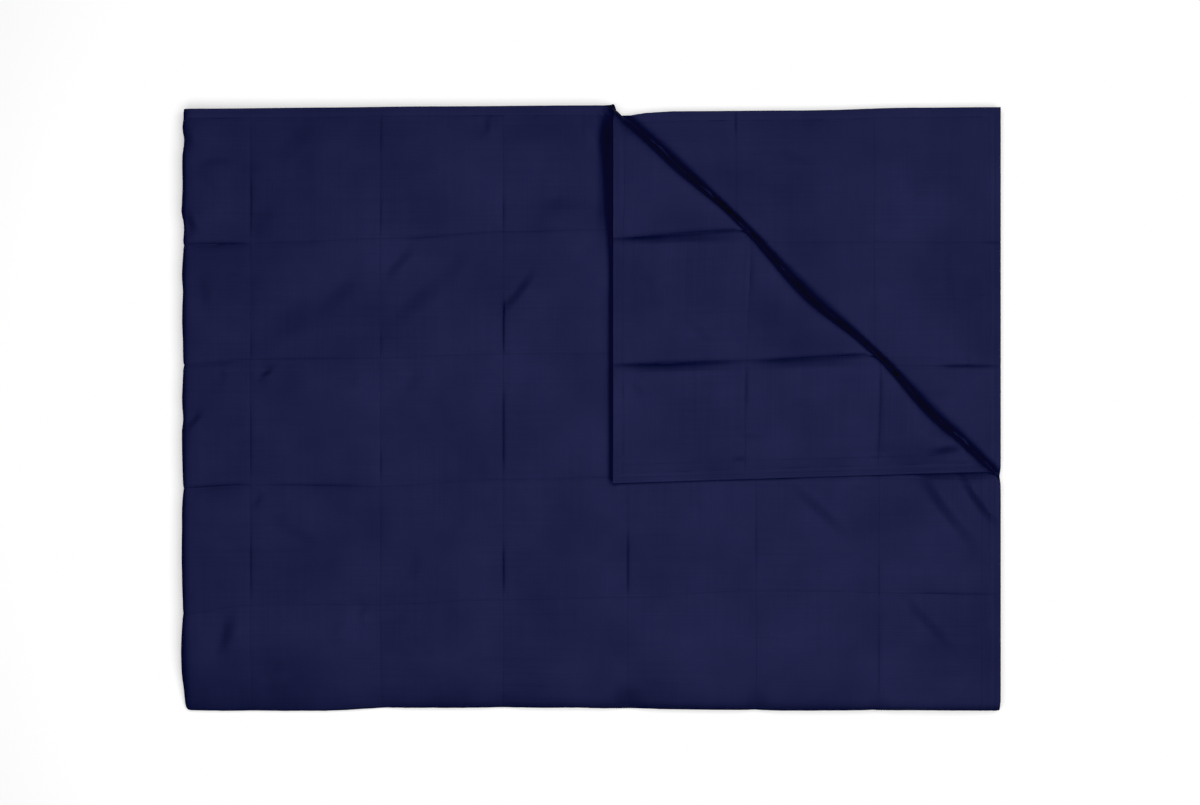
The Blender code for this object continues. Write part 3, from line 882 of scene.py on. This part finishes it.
def sharpen_seams(mesh, flat):
    """Mark the stitched lines as sharp, so that shading doesn't round off the grooves."""
    to_column, to_row, _ = seam_distances(flat)
    ends = np.empty(2 * len(mesh.edges), dtype=np.int32)
    mesh.edges.foreach_get("vertices", ends)
    ends = ends.reshape(-1, 2)
    on_column = (to_column < ON_SEAM)[ends].all(axis=1)
    on_row = (to_row < ON_SEAM)[ends].all(axis=1)
    sharp = mesh.attributes.new("sharp_edge", "BOOLEAN", "EDGE")
    sharp.data.foreach_set("value", on_column | on_row)


def lay_out_weave(mesh, flat):
    """Give the cloth its unfolded places as texture coordinates, so that the weave follows it."""
    corners = np.empty(len(mesh.loops), dtype=np.int32)
    mesh.loops.foreach_get("vertex_index", corners)
    layer = mesh.uv_layers.new(name="unfolded")
    layer.data.foreach_set("uv", flat[corners].astype(np.float32).ravel())


def seam_lines():
    """Every stitch's place on the unfolded cloth and its direction, hidden ones too."""
    places = []
    directions = []
    down = np.arange(HEM_WIDTH, BEND_END, STITCH_PITCH)
    across = np.arange(HEM_WIDTH, QUILT_WIDTH - HEM_WIDTH, STITCH_PITCH)
    upright = list(column_seams()[1:-1]) + [QUILT_WIDTH - SIDE_STITCHES[0]] + list(SIDE_STITCHES)
    for column in upright:
        places.append(np.stack((np.full(len(down), FOLDED_RIGHT - column), FOLDED_FAR - down), axis=1))
        directions.append(np.tile((0.0, 1.0), (len(down), 1)))
    rows = row_seams(across)
    for row in range(len(UPPER_ROWS) + 2):
        line = np.stack((FOLDED_RIGHT - across, FOLDED_FAR - rows[:, row]), axis=1)
        slope = np.gradient(line, axis=0)
        places.append(line)
        directions.append(slope / np.linalg.norm(slope, axis=1)[:, None])
    return np.concatenate(places), np.concatenate(directions)


def stitch_faces():
    """The faces of one stitch: sides from ring to ring, and a cap at either end."""
    faces = []
    last = (len(STITCH_RINGS) - 1) * STITCH_SIDES
    for low in range(0, last, STITCH_SIDES):
        for index in range(STITCH_SIDES):
            after = (index + 1) % STITCH_SIDES
            faces.append((low + index, low + after, low + STITCH_SIDES + after, low + STITCH_SIDES + index))
    faces.append(tuple(range(STITCH_SIDES - 1, -1, -1)))
    faces.append(tuple(range(last, last + STITCH_SIDES)))
    return faces


def stitching_piece():
    """Every stitch that shows, as a short thread that dips into the cloth at both ends."""
    places, directions = seam_lines()
    top, flap, second = shown_from_above(places, fold(places, np.zeros(len(places)))[:, :2])
    shown = ((top > 0.5, 1.0), (np.maximum(flap, second) > 0.5, -1.0))
    flat = np.concatenate([places[chosen] for chosen, _ in shown])
    way = np.concatenate([directions[chosen] for chosen, _ in shown])
    side = np.concatenate([np.full(chosen.sum(), facing) for chosen, facing in shown])
    rings = [
        (surface(flat + share * STITCH_LENGTH * way, side, rise), girth)
        for share, rise, girth in STITCH_RINGS]
    ahead = rings[-1][0] - rings[0][0]
    ahead /= np.linalg.norm(ahead, axis=1)[:, None]
    upwards = surface(flat, side, PROBE) - surface(flat, side)
    aside = np.cross(ahead, upwards)
    aside /= np.linalg.norm(aside, axis=1)[:, None]
    upwards = np.cross(aside, ahead)
    angles = -2.0 * pi * np.arange(STITCH_SIDES) / STITCH_SIDES
    corners = [
        middle + girth * (cos(angle) * aside + sin(angle) * upwards)
        for middle, girth in rings for angle in angles]
    points = np.stack(corners, axis=1).reshape(-1, 3)
    faces = [
        tuple(first + index for index in face)
        for first in range(0, len(points), len(corners)) for face in stitch_faces()]
    mesh = bpy.data.meshes.new("stitching")
    mesh.from_pydata(points.tolist(), [], faces)
    mesh.update()
    mesh.shade_smooth()
    return put_in_scene("stitching", mesh)


# ---- materials

def set_inputs(node, values):
    for name, value in values.items():
        node.inputs[name].default_value = value


def new_material(name, colour, roughness):
    material = bpy.data.materials.new(name)
    material.use_nodes = True
    shader = material.node_tree.nodes["Principled BSDF"]
    set_inputs(shader, {"Base Color": (*colour, 1.0), "Roughness": roughness})
    return material, material.node_tree, shader


def noise_texture(tree, coordinates, scale, detail):
    node = tree.nodes.new("ShaderNodeTexNoise")
    set_inputs(node, {"Scale": scale, "Detail": detail})
    tree.links.new(coordinates, node.inputs["Vector"])
    return node.outputs["Fac"]


def stretched(tree, coordinates, scale):
    mapping = tree.nodes.new("ShaderNodeMapping")
    mapping.inputs["Scale"].default_value = scale
    tree.links.new(coordinates, mapping.inputs["Vector"])
    return mapping.outputs["Vector"]


def multiplied(tree, first, second):
    mix = tree.nodes.new("ShaderNodeMix")
    mix.data_type = "RGBA"
    mix.blend_type = "MULTIPLY"
    mix.inputs["Factor"].default_value = 1.0
    tree.links.new(first, mix.inputs["A"])
    tree.links.new(second, mix.inputs["B"])
    return mix.outputs["Result"]


def toned(tree, factor, low, high):
    """Turn a texture's value into a colour between two tones."""
    ramp = tree.nodes.new("ShaderNodeValToRGB")
    for element, place, tone in zip(ramp.color_ramp.elements, TONE_ENDS, (low, high)):
        element.position = place
        element.color = (*tone, 1.0)
    tree.links.new(factor, ramp.inputs["Fac"])
    return ramp.outputs["Color"]


def thread_waves(tree, coordinates, direction):
    """One wave for each thread that lies across a direction."""
    wave = tree.nodes.new("ShaderNodeTexWave")
    wave.bands_direction = direction
    wave.inputs["Scale"].default_value = WAVES_PER_METRE / THREAD_PITCH
    tree.links.new(coordinates, wave.inputs["Vector"])
    return wave.outputs["Color"]


def cotton(name, colour):
    """Plain-woven cotton: two crossed thread directions, uneven threads, and slow drifts of tone."""
    material, tree, shader = new_material(name, colour, 0.5 * (SMOOTHEST + ROUGHEST))
    set_inputs(shader, {
        "Specular IOR Level": 0.04, "Sheen Weight": 0.01, "Sheen Roughness": 0.5,
        "Sheen Tint": (0.35, 0.42, 0.9, 1.0)})
    unfolded = tree.nodes.new("ShaderNodeUVMap")
    unfolded.uv_map = "unfolded"
    place = unfolded.outputs["UV"]

    darker = tuple((1.0 - TONE_SPREAD) * part for part in colour)
    lighter = tuple((1.0 + TONE_SPREAD) * part for part in colour)
    drift = toned(tree, noise_texture(tree, place, 9.0, 3.0), darker, lighter)
    lengthwise = stretched(tree, place, (ALONG_THREADS, ACROSS_THREADS, 1.0))
    crosswise = stretched(tree, place, (ACROSS_THREADS, ALONG_THREADS, 1.0))
    streaks = multiplied(
        tree, toned(tree, noise_texture(tree, lengthwise, 1.0, 2.0), (0.95, 0.95, 0.95), (1.05, 1.05, 1.05)),
        toned(tree, noise_texture(tree, crosswise, 1.0, 2.0), (0.96, 0.96, 0.96), (1.04, 1.04, 1.04)))
    tree.links.new(multiplied(tree, drift, streaks), shader.inputs["Base Color"])

    polish = tree.nodes.new("ShaderNodeMapRange")
    set_inputs(polish, {"To Min": SMOOTHEST, "To Max": ROUGHEST})
    tree.links.new(noise_texture(tree, place, 40.0, 4.0), polish.inputs["Value"])
    tree.links.new(polish.outputs["Result"], shader.inputs["Roughness"])

    warp, weft = (thread_waves(tree, place, direction) for direction in ("X", "Y"))
    bump = tree.nodes.new("ShaderNodeBump")
    set_inputs(bump, {"Strength": 0.30, "Distance": 0.0002})
    tree.links.new(multiplied(tree, warp, weft), bump.inputs["Height"])
    tree.links.new(bump.outputs["Normal"], shader.inputs["Normal"])
    return material


def thread():
    """Navy sewing thread, whose twist shows as small changes of tone."""
    material, tree, shader = new_material("navy_thread", (0.0215, 0.0240, 0.0640), 0.65)
    shader.inputs["Specular IOR Level"].default_value = 0.06
    place = tree.nodes.new("ShaderNodeTexCoord").outputs["Object"]
    twist = noise_texture(tree, place, 900.0, 1.0)
    tone = toned(tree, twist, (0.0195, 0.0215, 0.059), (0.024, 0.0265, 0.07))
    tree.links.new(tone, shader.inputs["Base Color"])
    return material


# ---- the studio

def floor():
    """A wide pale floor that glows a little, so that it comes out white."""
    bpy.ops.mesh.primitive_plane_add(size=12.0, location=(0.0, 0.0, 0.0))
    ground = bpy.context.object
    ground.name = "floor"
    material, _, shader = new_material("pale_floor", FLOOR_TONE, 0.9)
    set_inputs(shader, {
        "Specular IOR Level": 0.1, "Emission Color": (1.0, 1.0, 1.0, 1.0), "Emission Strength": FLOOR_GLOW})
    ground.data.materials.append(material)
    ground.visible_diffuse = False  # a studio keeps the floor's glare off a dark subject


def lights():
    """One large soft light above the right half, and a faint even sky."""
    world = bpy.data.worlds.new("studio")
    world.use_nodes = True
    set_inputs(world.node_tree.nodes["Background"], {"Color": (1.0, 1.0, 1.0, 1.0), "Strength": SKY})
    bpy.context.scene.world = world
    data = bpy.data.lights.new("softbox", "AREA")
    data.shape = "RECTANGLE"
    data.size = SOFTBOX_WIDTH
    data.size_y = SOFTBOX_WIDTH
    data.energy = SOFTBOX_POWER
    softbox = put_in_scene("softbox", data)
    softbox.location = SOFTBOX_PLACE
    softbox.visible_camera = False


def camera():
    """Look straight down on the blanket."""
    data = bpy.data.cameras.new("camera")
    data.sensor_width = 36.0
    data.lens = data.sensor_width * (CAMERA_HEIGHT - TOP_HEIGHT) / FRAME_WIDTH
    holder = put_in_scene("camera", data)
    holder.location = (*CAMERA_PLACE, CAMERA_HEIGHT)
    bpy.context.scene.camera = holder


def darkroom():
    """Print as a catalogue does: straight colours, and shadows almost down to black."""
    settings = bpy.context.scene.view_settings
    settings.view_transform = "Standard"
    settings.use_curve_mapping = True
    black = BLACK_POINT + DEEPEST
    settings.curve_mapping.black_level = (black, black, BLACK_POINT + BLUE_DEEPER)
    settings.curve_mapping.extend = "HORIZONTAL"
    for curve in settings.curve_mapping.curves[0:2]:
        curve.points[0].location = (0.0, DEEPEST)
    settings.curve_mapping.update()


blanket = blanket_piece()
blanket.data.materials.append(cotton("navy_cotton", NAVY))
stitching = stitching_piece()
stitching.data.materials.append(thread())
for piece in (blanket, stitching):
    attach(piece, "root")
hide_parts("blanket")
floor()
lights()
camera()
darkroom()
